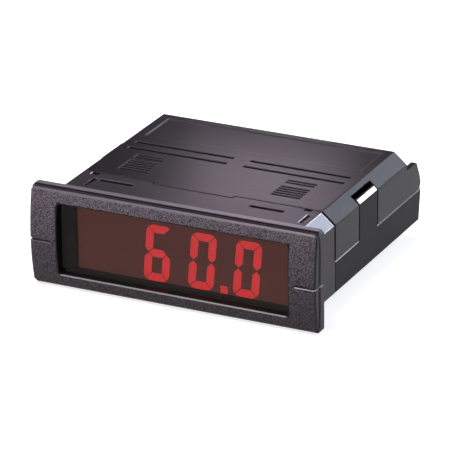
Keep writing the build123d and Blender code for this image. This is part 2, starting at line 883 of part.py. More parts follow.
def vent_face(outside):
    """Long vents and the two grilles, cut through a flat wall that ends at the given height."""
    with BuildSketch(Plane.XY.offset(outside)) as openings:
        with Locations(*vent_places):
            Rectangle(vent_length, vent_width)
        grille_middle = grille_inner_edge + grille_slot_length / 2
        grille_places = [grille_shift + side * grille_middle for side in (-1, 1)]
        with Locations(*[(place, depth) for place in grille_places for depth in grille_slots]):
            Rectangle(grille_slot_length, grille_slot_width)
    extrude(openings.sketch, amount=wall, dir=(0, 0, -1 if outside > 0 else 1), mode=Mode.SUBTRACT)


with BuildPart() as case_top:
    case_shell(case_rear, Keep.TOP)
    front_fittings(1)
    vent_face(case_height / 2)
    # Shallow bare panel
    with BuildSketch(Plane.XY.offset(case_height / 2 - panel_depth)):
        with Locations((0, case_rear - panel_rear_rim - panel_length / 2)):
            Rectangle(panel_width - 2 * panel_depth, panel_length - 2 * panel_depth)
    extrude(amount=panel_depth, taper=-panel_slope, mode=Mode.SUBTRACT)
    for side in (-1, 1):
        # Ear beside the terminals
        with BuildSketch(Plane.YZ.offset(side * (side_face - wall / 2))):
            Polygon(
                [
                    (case_rear, seam_top),
                    (ear_rear - ear_foot_setback, seam_top),
                    (ear_rear, ear_bend_height),
                    (ear_rear - ear_knee_setback, ear_knee_height),
                    (ear_rear - ear_top_setback, ear_top),
                    (case_rear, ear_top),
                ]
            )
        extrude(amount=wall / 2, both=True)
        # Window for the latch tongue, through the side and up the bevel
        slope = hypot(bevel_width, bevel_height)
        window_edge = side_face - latch_window_share * bevel_width
        window_top = bevel_foot + latch_window_share * bevel_height
        with BuildSketch(across(latch_rear + latch_gap)):
            Polygon(
                [
                    (side * (side_face + wall), seam_top),
                    (side * (side_face + wall), window_top),
                    (side * window_edge, window_top),
                    (
                        side * (window_edge - 2 * wall * bevel_height / slope),
                        window_top - 2 * wall * bevel_width / slope,
                    ),
                    (side * (side_face - 2 * wall), seam_top),
                ]
            )
        extrude(amount=latch_width + 2 * latch_gap, mode=Mode.SUBTRACT)
        # Access hole for a trimmer screw
        access = (side * trimmer_place, adjuster_axis)
        tube_along_y(access, adjuster_hole_radius, rear_wall_front, case_rear, Mode.SUBTRACT)
    # Posts that press the board down on the base
    with BuildSketch(Plane.XY.offset(main_board_top + post_gap)):
        with Locations(*[(x, y + post_step) for x, y in post_places]):
            Rectangle(post_width, post_width)
    extrude(amount=ceiling - main_board_top - post_gap)
finish(case_top.part, "case_top")

with BuildPart() as case_base:
    case_shell(ear_rear, Keep.BOTTOM)
    # Rear edge that leans forward towards the bottom
    with BuildSketch(Plane.YZ):
        Polygon(
            [
                (ear_rear, seam_bottom),
                (ear_rear - base_lean, -case_height / 2),
                (ear_rear, -case_height / 2),
            ]
        )
    extrude(amount=side_face, both=True, mode=Mode.SUBTRACT)
    rims = case_base.edges().filter_by(Axis.Y).filter_by(lambda e: abs(e.center().X) > side_face - seam_gap)
    chamfer(rims.group_by(Axis.Z)[-1], seam_bevel)
    front_fittings(-1)
    vent_face(-case_height / 2)
    for side in (-1, 1):
        with BuildSketch(across(latch_rear)):
            Polygon(
                [
                    (side * side_face, seam_bottom - seam_bevel),
                    (side * side_face, bevel_foot),
                    (side * (side_face - latch_tip_depth), bevel_foot + latch_tip_height),
                    (side * (side_face - latch_thickness), bevel_foot + latch_tip_height),
                    (side * (side_face - latch_thickness), seam_bottom - seam_bevel),
                ]
            )
        extrude(amount=latch_width)
    # Bosses that carry the board, two of them with locating pins
    with BuildSketch(Plane.XY.offset(floor)):
        with Locations(*post_places):
            Rectangle(boss_width, boss_width)
    extrude(amount=main_board_lift)
    with BuildSketch(Plane.XY.offset(main_board_bottom)):
        with Locations(*pin_places):
            Rectangle(post_pin_width, post_pin_width)
    extrude(amount=board_thickness + post_pin_height)
finish(case_base.part, "case_base")
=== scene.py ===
import math

import bmesh
import bpy
from mathutils import Matrix, Vector


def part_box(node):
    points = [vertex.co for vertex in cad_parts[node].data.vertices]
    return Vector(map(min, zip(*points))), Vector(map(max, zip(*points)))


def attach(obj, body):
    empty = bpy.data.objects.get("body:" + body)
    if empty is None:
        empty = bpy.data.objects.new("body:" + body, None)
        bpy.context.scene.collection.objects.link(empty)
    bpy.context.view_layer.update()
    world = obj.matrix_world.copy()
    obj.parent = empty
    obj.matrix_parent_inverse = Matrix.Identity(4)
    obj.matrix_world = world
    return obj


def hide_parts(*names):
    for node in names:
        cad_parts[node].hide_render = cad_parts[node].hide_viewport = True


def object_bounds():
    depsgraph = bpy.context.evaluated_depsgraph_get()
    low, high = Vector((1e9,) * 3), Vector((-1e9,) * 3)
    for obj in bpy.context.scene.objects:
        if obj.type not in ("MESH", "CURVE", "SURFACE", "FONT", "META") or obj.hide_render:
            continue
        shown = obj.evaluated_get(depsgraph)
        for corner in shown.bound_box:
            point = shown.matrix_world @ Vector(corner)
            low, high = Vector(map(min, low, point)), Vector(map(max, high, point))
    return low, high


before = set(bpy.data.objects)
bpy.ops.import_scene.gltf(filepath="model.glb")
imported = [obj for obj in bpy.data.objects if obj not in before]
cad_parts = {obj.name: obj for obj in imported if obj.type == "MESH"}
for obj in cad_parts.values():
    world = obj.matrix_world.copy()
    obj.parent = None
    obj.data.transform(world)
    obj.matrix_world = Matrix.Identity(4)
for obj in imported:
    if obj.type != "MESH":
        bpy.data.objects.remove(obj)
cad_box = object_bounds()

bl_info = {
    "name": "Panel meter finish",
    "version": (1, 0, 0),
    "blender": (4, 5, 0),
    "location": "View3D > Sidebar > Meter",
    "description": "Finishes a digital panel meter and sets it on a pale studio floor",
    "category": "Object",
}

MM = 0.001
BODY = "meter"

# Places on the mouldings that the finishes and the painted light and shade follow; a pair is where
# a mask is 0 and where it is 1
# Size of the front plate, across which its painted shade runs
PLATE_HALF_WIDTH = 36.0 * MM
PLATE_HALF_HEIGHT = 11.0 * MM
PLATE_FRONT = (-1.9 * MM, -2.0 * MM)  # along Y, in front of the flange's step
FLANGE_TOP = (-1.76 * MM, -1.7 * MM)  # along Y, behind that step
COLLAR = (0.0, 0.1 * MM)  # along Y, behind the flange
STEP_ENDS = 35.4 * MM  # from the middle, past which the step shows beside the plate
COLLAR_CORNERS = 27.0 * MM  # from the middle, past which the corner facets lie
PRY_GROOVE = -0.7 * MM  # up Z, middle of the grooves at the plate's ends
DARK_LIP = 0.33 * MM  # painted shade on the lip at the window's top and right
LENS_RIM = 0.58 * MM  # edge of the lens that is behind the window's lip
CASE_SEAM = -1.5 * MM  # up Z
LATCH_TIPS = (3.0 * MM, 6.0 * MM)  # up Z, from half to full painted glint
# Height over which the painted glint fades in
GLINT_FADE = 0.1 * MM
# The pry groove's ledge gets a painted highlight, weaker towards the left
MIDDLE = (-1.0 * MM, 1.0 * MM)  # across X, from the dim left end to the lit right end
LEFT_LIGHT = 0.2
BEZEL_SATIN = 0.16 * MM  # size of the grain behind the front plate
CASE_SATIN = 0.3 * MM
# White of the painted highlights and glints
PAINTED_GLINT_WHITE = (0.85, 0.85, 0.87)

# Directions that the masks follow: one part of a surface's unit normal, or for a slope the product
# of two of them, which is a half at 45 degrees
FORWARD = (-0.72, -0.84)
UPWARD = (0.7, 0.9)
LEDGE_UPWARD = (0.6, 0.8)
LIP_SLOPE = (-0.36, -0.46)
FACET_SLOPE = (0.40, 0.47)
LATCH_SLOPE = (0.36, 0.44)

# Rounding of moulded edges
MERGE = 0.002 * MM
FLAT = math.radians(0.5)
CREASE = math.radians(35)
ROUND_FROM, ROUND_TO = math.radians(25), math.radians(125)
SHORTEST = 4.0  # shortest edge that is rounded, in widths of the rounding
ROOM = 2.4  # shortest edge that may meet it, in widths of the rounding

# Parts on the main board and their leads
LEAD_HALF = 0.3 * MM
PINS_A_ROW = 20
RESISTORS = 4
RESISTOR_PITCH = 12.0 * MM
RESISTOR_BODY = (0.52, 0.37, 0.20)
RING_WIDTH = 0.045  # as a share of the pitch
RINGS = (  # start as a share of the pitch, and colour
    (0.10, (0.30, 0.10, 0.02)),
    (0.19, (0.02, 0.02, 0.02)),
    (0.28, (0.45, 0.12, 0.01)),
    (0.42, (0.40, 0.26, 0.05)),
)
CAN_RADIUS = 4.0 * MM
CAN_LEAD = 1.75 * MM  # from the can's axis
FILM_HALF = 1.3 * MM
FILM_LEAD = 1.1 * MM  # from the capacitor's end
TRIMMER_LEAD = 2.2 * MM  # from the trimmer's end
TRIMMER_LEADS = 3
JOINT_SIDES = 10
JOINT_TIP = 0.25 * MM

# Small parts: nodes, finish, dark and light colour, least and most roughness, other values
BOARD_PARTS = (
    (("display_leads", "header_pins", "converter_legs", "resistor_leads", "regulator_legs"),
     "tin", (0.55, 0.55, 0.53), (0.72, 0.72, 0.70), 0.25, 0.42, {"scale": 1500.0, "metal": 1.0}),
    (("regulator_tab",),
     "tab_tin", (0.42, 0.42, 0.42), (0.6, 0.6, 0.6), 0.3, 0.5, {"scale": 900.0, "metal": 1.0}),
    (("header_strip", "converter_chip", "regulator_body"),
     "part_black", (0.012, 0.012, 0.013), (0.03, 0.03, 0.032), 0.45, 0.65,
     {"relief": 0.02 * MM}),
    (("supply_capacitors",),
     "can_sleeve", (0.010, 0.018, 0.05), (0.018, 0.03, 0.08), 0.25, 0.35, {"scale": 300.0}),
    (("film_capacitors",),
     "film_red", (0.32, 0.03, 0.02), (0.42, 0.05, 0.03), 0.25, 0.4, {"scale": 600.0}),
)
TERMINALS = range(1, 9)
TERMINAL_PARTS = (
    (("zero_trimmer", "span_trimmer"),
     "trimmer_blue", (0.02, 0.10, 0.34), (0.03, 0.14, 0.42), 0.3, 0.45, {}),
    (("zero_adjuster", "span_adjuster"),
     "brass_screw", (0.60, 0.42, 0.15), (0.75, 0.56, 0.24), 0.2, 0.4,
     {"scale": 2000.0, "metal": 1.0}),
    ([f"terminal_screw_{n}" for n in TERMINALS],
     "steel_screw", (0.45, 0.44, 0.42), (0.62, 0.61, 0.58), 0.22, 0.4,
     {"scale": 2000.0, "metal": 1.0}),
    ([f"wire_clamp_{n}" for n in TERMINALS],
     "clamp_steel", (0.40, 0.40, 0.39), (0.55, 0.55, 0.54), 0.28, 0.45,
     {"scale": 1500.0, "metal": 1.0}),
    (("terminal_contacts",),
     "copper_tin", (0.52, 0.50, 0.46), (0.68, 0.66, 0.62), 0.25, 0.42,
     {"scale": 1500.0, "metal": 1.0}),
)

# Stage
FLOOR_HALF = 4.0
FLOOR_LIFT = 0.8  # the floor's own light to the camera and in gloss
SKY_FADE = (0.12, 0.34)  # up Z of the direction, from the low colour to the high one
SKY_LOW, SKY_HIGH = (0.14, 0.14, 0.14), (0.035, 0.035, 0.037)
SENSOR_WIDTH = 36.0
CLIP_START = 0.01
LAMPS = (  # name, place, aim and size in millimetres, power, colour
    ("overhead_soft", (-120, -170, 640), (0, 10, 0), (320, 260), 5.0, (1.0, 1.0, 1.0)),
    ("rear_panel", (250, 512, 262), (32, 15, 9), (240, 190), 2.0, (0.78, 0.84, 1.0)),
    ("rim_card", (-26, 100, 53), (10, 20, 11), (38, 12), 0.021, (1.0, 0.82, 1.0)),
    ("side_soft", (520, -60, 330), (0, 25, 0), (260, 260), 0.3, (0.8, 0.86, 1.0)),
)


# Settings


class MeterFinishSettings(bpy.types.PropertyGroup):
    """Colours and small sizes of the meter's finish."""

    bezel_colour: bpy.props.FloatVectorProperty(
        name="Bezel colour", description="Plastic of the bezel and collar",
        default=(0.056, 0.045, 0.056), subtype="COLOR", min=0.0, max=1.0)
    # The facets' own dark colour with a painted bluish reflection on it
    facet_tint_and_painted_sheen: bpy.props.FloatVectorProperty(
        name="Facet colour", description="Polished corner facets of the collar",
        default=(0.046, 0.049, 0.085), subtype="COLOR", min=0.0, max=1.0)
    case_colour: bpy.props.FloatVectorProperty(
        name="Case colour", description="Plastic of the two case halves",
        default=(0.017, 0.0145, 0.017), subtype="COLOR", min=0.0, max=1.0)
    glow_colour: bpy.props.FloatVectorProperty(
        name="Glow colour", description="Light of the lit segments",
        default=(0.60, 0.042, 0.046), subtype="COLOR", min=0.0, max=1.0)
    face_colour: bpy.props.FloatVectorProperty(
        name="Display face colour", description="Dark brown behind the window",
        default=(0.081, 0.0354, 0.0313), subtype="COLOR", min=0.0, max=1.0)
    lens_colour: bpy.props.FloatVectorProperty(
        name="Lens colour", description="Tint of the window",
        default=(0.03, 0.006, 0.006), subtype="COLOR", min=0.0, max=1.0)
    board_colour: bpy.props.FloatVectorProperty(
        name="Board colour", description="Lacquer of the printed boards",
        default=(0.02, 0.13, 0.05), subtype="COLOR", min=0.0, max=1.0)
    edge_round: bpy.props.FloatProperty(
        name="Edge rounding", description="Width of the rounding on moulded edges",
        default=0.14 * MM, unit="LENGTH", min=0.0, precision=5)
    grain_size: bpy.props.FloatProperty(
        name="Grain size", description="Size of one grain on the front of the bezel",
        default=0.29 * MM, unit="LENGTH", min=0.00001, precision=5)
    joint_radius: bpy.props.FloatProperty(
        name="Solder joint radius", description="Radius of a solder joint at the board",
        default=0.75 * MM, unit="LENGTH", min=0.0, precision=5)
    joint_height: bpy.props.FloatProperty(
        name="Solder joint height", description="Height of a solder joint",
        default=0.8 * MM, unit="LENGTH", min=0.0, precision=5)


class MeterStageSettings(bpy.types.PropertyGroup):
    """Floor and camera."""

    floor_colour: bpy.props.FloatVectorProperty(
        name="Floor colour", description="Plain pale floor",
        default=(0.5, 0.5, 0.5), subtype="COLOR", min=0.0, max=1.0)
    azimuth: bpy.props.FloatProperty(
        name="Azimuth", description="Turn of the camera to the right of the front",
        default=math.radians(26.212), subtype="ANGLE")
    elevation: bpy.props.FloatProperty(
        name="Elevation", description="Height angle of the camera",
        default=math.radians(22.490), subtype="ANGLE")
    roll: bpy.props.FloatProperty(
        name="Roll", description="Turn of the picture",
        default=math.radians(-0.644), subtype="ANGLE")
    distance: bpy.props.FloatProperty(
        name="Distance", description="From the target to the camera",
        default=832.15 * MM, unit="LENGTH")
    lens: bpy.props.FloatProperty(
        name="Lens", description="Focal length in millimetres", default=289.09)
    target: bpy.props.FloatVectorProperty(
        name="Target", description="Point at the middle of the picture",
        default=(-0.5791 * MM, 25.0 * MM, -2.4516 * MM), subtype="XYZ", unit="LENGTH")


# Shader helpers


def add(tree, kind, **values):
    """A new node with some of its inputs and attributes set."""
    node = tree.nodes.new(kind)
    for key, value in values.items():
        if key in node.inputs:
            node.inputs[key].default_value = value
        else:
            setattr(node, key, value)
    return node


def join(tree, source, target):
    """A link from one socket to another."""
    tree.links.new(source, target)


def maths(tree, operation, first, second=None):
    """A Math node over sockets or numbers."""
    node = tree.nodes.new("ShaderNodeMath")
    node.operation = operation
    for socket, value in zip(node.inputs, (first, second)):
        if value is None:
            continue
        if isinstance(value, (int, float)):
            socket.default_value = value
        else:
            join(tree, value, socket)
    return node.outputs[0]


def times(tree, first, *others):
    """The product of sockets and numbers."""
    for other in others:
        first = maths(tree, "MULTIPLY", first, other)
    return first


def blend_colours(tree, factor, first, second, mode="MIX"):
    """A colour Mix node over sockets or colours."""
    node = tree.nodes.new("ShaderNodeMix")
    node.data_type = "RGBA"
    node.blend_type = mode
    sockets = (node.inputs[0], node.inputs[6], node.inputs[7])  # the factor and both colours
    for socket, value in zip(sockets, (factor, first, second)):
        if isinstance(value, (int, float)):
            socket.default_value = value
        elif isinstance(value, bpy.types.NodeSocket):
            join(tree, value, socket)
        else:
            socket.default_value = (*value[:3], 1.0)
    return node.outputs[2]


def dim(tree, light, colour, tint):
    """A colour that is tinted where a mask is 0."""
    return blend_colours(tree, light, blend_colours(tree, 1.0, colour, tint, "MULTIPLY"), colour)


def ramp(tree, value, low, high, start=0.0, end=1.0):
    """A value spread from start to end between two limits."""
    limits = {"From Min": low, "From Max": high, "To Min": start, "To Max": end}
    node = add(tree, "ShaderNodeMapRange", **limits)
    join(tree, value, node.inputs["Value"])
    return node.outputs["Result"]


def separate(tree, vector):
    """The X, Y and Z of a vector."""
    axes = add(tree, "ShaderNodeSeparateXYZ")
    join(tree, vector, axes.inputs["Vector"])
    return axes.outputs


def facing(tree):
    """The X, Y and Z of the surface's own direction."""
    return separate(tree, tree.nodes.new("ShaderNodeTexCoord").outputs["Normal"])


def new_group(name, inputs, outputs):
    """An empty shader node group with named sockets."""
    tree = bpy.data.node_groups.new(name, "ShaderNodeTree")
    for label, kind, value in inputs:
        socket = tree.interface.new_socket(name=label, in_out="INPUT", socket_type=kind)
        if value is not None:
            socket.default_value = value
    for label, kind in outputs:
        tree.interface.new_socket(name=label, in_out="OUTPUT", socket_type=kind)
    return tree, tree.nodes.new("NodeGroupInput"), tree.nodes.new("NodeGroupOutput")


def moulded_skin():
    """Grain of a moulded plastic: a height for bumps, a tone for colour and gloss, and a cloud."""
    if "moulded_skin" in bpy.data.node_groups:
        return bpy.data.node_groups["moulded_skin"]
    tree, given, result = new_group(
        "moulded_skin",
        [("Place", "NodeSocketVector", None), ("Grain size", "NodeSocketFloat", 0.5 * MM)],
        [("Height", "NodeSocketFloat"), ("Tone", "NodeSocketFloat"), ("Cloud", "NodeSocketFloat")])
    scale = maths(tree, "DIVIDE", 1.0, given.outputs["Grain size"])
    pebbles = add(tree, "ShaderNodeTexVoronoi", feature="SMOOTH_F1", Smoothness=0.7, Randomness=1.0)
    ripple = add(tree, "ShaderNodeTexNoise", Detail=3.0, Roughness=0.6)
    cloud = add(tree, "ShaderNodeTexNoise", Scale=60.0, Detail=2.0)
    for node in (pebbles, ripple, cloud):
        join(tree, given.outputs["Place"], node.inputs["Vector"])
    join(tree, scale, pebbles.inputs["Scale"])
    join(tree, times(tree, scale, 0.9), ripple.inputs["Scale"])
    dome = maths(tree, "SUBTRACT", 1.0, pebbles.outputs["Distance"])
    height = maths(tree, "ADD", times(tree, dome, 0.45), times(tree, ripple.outputs["Fac"], 0.55))
    join(tree, height, result.inputs["Height"])
    join(tree, ramp(tree, height, 0.4, 0.8), result.inputs["Tone"])
    join(tree, ramp(tree, cloud.outputs["Fac"], 0.3, 0.7), result.inputs["Cloud"])
    return tree


def edge_light():
    """Masks of the edges of a moulding: of the sharp ones, and of the shallow ones as well."""
    if "edge_light" in bpy.data.node_groups:
        return bpy.data.node_groups["edge_light"]
    tree, given, result = new_group(
        "edge_light", [("Radius", "NodeSocketFloat", 0.3 * MM)],
        [("Edge", "NodeSocketFloat"), ("Shallow edge", "NodeSocketFloat")])
    soft = add(tree, "ShaderNodeBevel", samples=6)
    join(tree, given.outputs["Radius"], soft.inputs["Radius"])
    geometry = add(tree, "ShaderNodeNewGeometry")
    dot = add(tree, "ShaderNodeVectorMath", operation="DOT_PRODUCT")
    join(tree, soft.outputs["Normal"], dot.inputs[0])
    join(tree, geometry.outputs["Normal"], dot.inputs[1])
    bend = maths(tree, "SUBTRACT", 1.0, dot.outputs["Value"])
    join(tree, ramp(tree, bend, 0.02, 0.25), result.inputs["Edge"])
    join(tree, ramp(tree, bend, 0.002, 0.012), result.inputs["Shallow edge"])
    return tree


def speckle():
    """Fine mottling between two colours, with a matching gloss value."""
    if "speckle" in bpy.data.node_groups:
        return bpy.data.node_groups["speckle"]
    tree, given, result = new_group(
        "speckle",
        [("Place", "NodeSocketVector", None), ("Scale", "NodeSocketFloat", 2000.0),
         ("Dark", "NodeSocketColor", (0.02, 0.02, 0.02, 1.0)),
         ("Light", "NodeSocketColor", (0.05, 0.05, 0.05, 1.0)),
         ("Smooth", "NodeSocketFloat", 0.3), ("Rough", "NodeSocketFloat", 0.5)],
        [("Colour", "NodeSocketColor"), ("Roughness", "NodeSocketFloat"),
         ("Height", "NodeSocketFloat")])
    noise = add(tree, "ShaderNodeTexNoise", Detail=4.0, Roughness=0.65)
    join(tree, given.outputs["Place"], noise.inputs["Vector"])
    join(tree, given.outputs["Scale"], noise.inputs["Scale"])
    level = ramp(tree, noise.outputs["Fac"], 0.3, 0.7)
    colour = blend_colours(tree, level, given.outputs["Dark"], given.outputs["Light"])
    span = maths(tree, "SUBTRACT", given.outputs["Rough"], given.outputs["Smooth"])
    roughness = maths(tree, "ADD", given.outputs["Smooth"], times(tree, level, span))
    join(tree, colour, result.inputs["Colour"])
    join(tree, roughness, result.inputs["Roughness"])
    join(tree, noise.outputs["Fac"], result.inputs["Height"])
    return tree


def new_material(name):
    """A material with one shader, and its Object coordinates."""
    material = bpy.data.materials.new(name)
    material.use_nodes = True
    tree = material.node_tree
    tree.nodes.clear()
    output = tree.nodes.new("ShaderNodeOutputMaterial")
    shader = tree.nodes.new("ShaderNodeBsdfPrincipled")
    join(tree, shader.outputs["BSDF"], output.inputs["Surface"])
    place = tree.nodes.new("ShaderNodeTexCoord").outputs["Object"]
    return material, tree, shader, place


def use_group(tree, group, place, **values):
    """The outputs of a group placed in a material with its own values."""
    node = tree.nodes.new("ShaderNodeGroup")
    node.node_tree = group
    if place is not None:
        join(tree, place, node.inputs["Place"])
    for key, value in values.items():
        node.inputs[key.replace("_", " ")].default_value = value
    return node.outputs


def mottle(tree, place, scale, dark, light, smooth, rough):
    """The speckle group with two colours and two limits of roughness."""
    return use_group(tree, speckle(), place, Scale=scale, Dark=(*dark, 1.0), Light=(*light, 1.0),
                     Smooth=smooth, Rough=rough)


def bump(tree, shader, height, strength, depth):
    """Relief in the shader's normal."""
    node = add(tree, "ShaderNodeBump", Strength=strength, Distance=depth)
    join(tree, height, node.inputs["Height"])
    join(tree, node.outputs["Normal"], shader.inputs["Normal"])


def shade(colour, share):
    """A darker or lighter colour."""
    return tuple(min(1.0, c * share) for c in colour)


# Finishes


def bezel_zones(tree, place):
    """Masks for the areas of the bezel that have a finish of their own, and for its painted light
    and shade.
    """
    way, spot = facing(tree), separate(tree, place)
    off_centre = maths(tree, "ABSOLUTE", spot["X"])
    forward = ramp(tree, way["Y"], *FORWARD)
    front = times(tree, forward, ramp(tree, spot["Y"], *PLATE_FRONT))
    ends = maths(tree, "GREATER_THAN", off_centre, STEP_ENDS)
    corner = maths(tree, "ABSOLUTE", times(tree, way["X"], way["Z"]))
    outer = maths(tree, "GREATER_THAN", off_centre, COLLAR_CORNERS)
    collar = ramp(tree, spot["Y"], *COLLAR)
    flange = times(tree, ramp(tree, spot["Y"], *FLANGE_TOP), maths(tree, "SUBTRACT", 1.0, collar))
    lip = ramp(tree, times(tree, way["Y"], way["Z"]), *LIP_SLOPE)
    lit_end = ramp(tree, spot["X"], *MIDDLE, LEFT_LIGHT, 1.0)
    lens_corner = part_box("lens")[1]
    side, top = lens_corner[0] - LENS_RIM, lens_corner[2] - LENS_RIM
    return {
        "front": front,
        # Masks of the front's painted shade, which darkens it towards the bottom and towards the
        # right
        "upper": ramp(tree, spot["Z"], -PLATE_HALF_HEIGHT, PLATE_HALF_HEIGHT),
        "left": ramp(tree, spot["X"], PLATE_HALF_WIDTH, -PLATE_HALF_WIDTH),
        # Painted light on the flange's forward faces beside the plate's ends
        "step": times(tree, maths(tree, "SUBTRACT", forward, front), ends),
        # Painted highlight on the flange's upward faces
        "ridge": times(tree, ramp(tree, way["Z"], *UPWARD), flange),
        # The polished corner facets, which also carry a painted bluish reflection
        "facet": times(tree, ramp(tree, corner, *FACET_SLOPE), outer, collar),
        # The plate's chamfer, which is polished and also gets a painted highlight
        "lip": lip,
        # Painted highlight along the window's lower lip
        "sill": times(tree, lip, maths(tree, "LESS_THAN", spot["Z"], 0.0)),
        # Painted highlight on the pry groove's upward ledge, brighter towards the right
        "ledge": times(tree, ramp(tree, way["Z"], *LEDGE_UPWARD), lit_end,
                       maths(tree, "LESS_THAN", spot["Z"], PRY_GROOVE),
                       maths(tree, "LESS_THAN", spot["Y"], 0.0)),
        # Painted shade on the window's walls and on its lip at the top and right
        "window": times(tree, maths(tree, "LESS_THAN", spot["X"], side + DARK_LIP),
                        maths(tree, "GREATER_THAN", spot["X"], -side),
                        maths(tree, "LESS_THAN", spot["Z"], top + DARK_LIP),
                        maths(tree, "GREATER_THAN", spot["Z"], -top)),
    }


def bezel_plastic(settings):
    """Coarse grain on the front plate, satin behind it, polish on the collar's corner facets;
    painted shade darkens the front towards the bottom and the right and fills the window's walls,
    and painted highlights lie on the step, the ridge, the edges, the chamfer, the lower lip, the
    groove's ledge and the facets, which also carry a bluish painted reflection.
    """
    material, tree, shader, place = new_material("bezel_plastic")
    colour = tuple(settings.bezel_colour)
    coarse = use_group(tree, moulded_skin(), place, Grain_size=settings.grain_size)
    fine = use_group(tree, moulded_skin(), place, Grain_size=BEZEL_SATIN)
    edge = use_group(tree, edge_light(), None, Radius=0.25 * MM)["Edge"]
    border = use_group(tree, edge_light(), None, Radius=0.5 * MM)["Shallow edge"]
    zones = bezel_zones(tree, place)
    front, facet, lip = zones["front"], zones["facet"], zones["lip"]

    grain = blend_colours(tree, coarse["Tone"], shade(colour, 1.1), shade(colour, 7.6))
    # Painted shade: the front's grain is darker towards the bottom and towards the right
    grain = dim(tree, zones["upper"], grain, (0.42, 0.42, 0.39))
    grain = dim(tree, zones["left"], grain, (0.82, 0.82, 0.80))
    satin = blend_colours(tree, fine["Cloud"], shade(colour, 0.5), shade(colour, 0.6))
    skin = blend_colours(tree, front, satin, grain)
    # Painted highlights on the window's lower lip and on the groove's ledge
    pale = maths(tree, "MAXIMUM", times(tree, zones["sill"], 0.2), zones["ledge"])
    coats = (  # mask, share and colour, each laid over the one before
        # painted light: the step's forward faces are coloured as bright as the lit front
        (zones["step"], 1.0, shade(colour, 4.6)),
        # painted highlight on the flange's top
        (zones["ridge"], 0.8, shade(colour, 3.0)),
        # the facets' colour, partly a painted bluish reflection
        (facet, 0.8, settings.facet_tint_and_painted_sheen),
        # painted highlight on the edges
        (edge, 0.55, shade(colour, 3.6)),
        # painted highlight: white lines round the facets
        (times(tree, facet, border), 1.0, PAINTED_GLINT_WHITE),
        # painted highlight on the chamfer
        (lip, 0.45, shade(colour, 4.0)),
        # painted highlight on the lower lip and the ledge
        (pale, 1.0, PAINTED_GLINT_WHITE),
        # painted shade inside the window
        (zones["window"], 1.0, shade(colour, 0.1)),
    )
    for mask, share, coat in coats:
        skin = blend_colours(tree, times(tree, mask, share), skin, coat)
    join(tree, skin, shader.inputs["Base Color"])

    grained = ramp(tree, coarse["Tone"], 0.0, 1.0, 0.5, 0.62)
    smooth = ramp(tree, fine["Tone"], 0.0, 1.0, 0.44, 0.5)
    polish = maths(tree, "MAXIMUM", facet, times(tree, lip, 0.6))
    polished = maths(tree, "SUBTRACT", smooth, times(tree, polish, 0.28))
    rear = maths(tree, "SUBTRACT", 1.0, front)
    rough = maths(tree, "ADD", times(tree, front, grained), times(tree, rear, polished))
    join(tree, rough, shader.inputs["Roughness"])
    join(tree, times(tree, facet, 0.09), shader.inputs["Coat Weight"])
    shader.inputs["Coat Roughness"].default_value = 0.2
    shader.inputs["Specular IOR Level"].default_value = 0.16
    height = maths(tree, "ADD", times(tree, front, coarse["Height"]),
                   times(tree, fine["Height"], 0.02))
    bump(tree, shader, height, 1.0, 0.32 * MM)
    return material


def case_plastic(settings, name, share, roughness, gloss, glint_from):
    """Fine satin of a case half, with a painted highlight on its edges, and glossier slopes above a
    height that carry a painted white glint.
    """
    material, tree, shader, place = new_material(name)
    colour = shade(settings.case_colour, share)
    fine = use_group(tree, moulded_skin(), place, Grain_size=CASE_SATIN)
    edge = use_group(tree, edge_light(), None, Radius=0.22 * MM)["Shallow edge"]
    way, spot = facing(tree), separate(tree, place)
    slope = maths(tree, "ABSOLUTE", times(tree, way["X"], way["Z"]))
    # Slopes above a height: glossier, and coloured white as a painted glint
    gloss_and_painted_glint = times(tree, ramp(tree, slope, *LATCH_SLOPE),
                   ramp(tree, spot["Z"], *LATCH_TIPS, 0.5, 1.0),
                   ramp(tree, spot["Z"], glint_from, glint_from + GLINT_FADE))
    skin = blend_colours(tree, fine["Cloud"], shade(colour, 0.85), shade(colour, 1.1))
    grain = blend_colours(tree, fine["Tone"], (0.86, 0.86, 0.86), (1.0, 1.0, 1.0))
    skin = blend_colours(tree, 1.0, skin, grain, "MULTIPLY")
    # Painted highlight: the edges are coloured much lighter
    skin = blend_colours(tree, times(tree, edge, 0.5), skin, shade(colour, 7.0))
    # painted glint on the slopes
    skin = blend_colours(tree, times(tree, gloss_and_painted_glint, 0.9), skin, PAINTED_GLINT_WHITE)
    join(tree, skin, shader.inputs["Base Color"])
    satin = ramp(tree, fine["Tone"], 0.0, 1.0, roughness, roughness + 0.1)
    polished = maths(tree, "SUBTRACT", satin, times(tree, gloss_and_painted_glint, roughness - 0.15))
    join(tree, polished, shader.inputs["Roughness"])
    join(tree, gloss_and_painted_glint, shader.inputs["Coat Weight"])
    shader.inputs["Coat Roughness"].default_value = 0.15
    shader.inputs["Specular IOR Level"].default_value = gloss
    bump(tree, shader, fine["Height"], 0.45, 0.1 * MM)
    return material


def speckled(name, dark, light, smooth, rough,
             scale=2500.0, metal=0.0, relief=0.0, gloss=0.5, glow=0.0):
    """A mottled finish for the small parts."""
    material, tree, shader, place = new_material(name)
    grain = mottle(tree, place, scale, dark, light, smooth, rough)
    join(tree, grain["Colour"], shader.inputs["Base Color"])
    join(tree, grain["Roughness"], shader.inputs["Roughness"])
    shader.inputs["Metallic"].default_value = metal
    shader.inputs["Specular IOR Level"].default_value = gloss
    # A glow is painted light: the part lights itself though it is no lamp
    if glow:
        join(tree, grain["Colour"], shader.inputs["Emission Color"])
        shader.inputs["Emission Strength"].default_value = glow
    if relief:
        bump(tree, shader, grain["Height"], 0.4, relief)
    return material


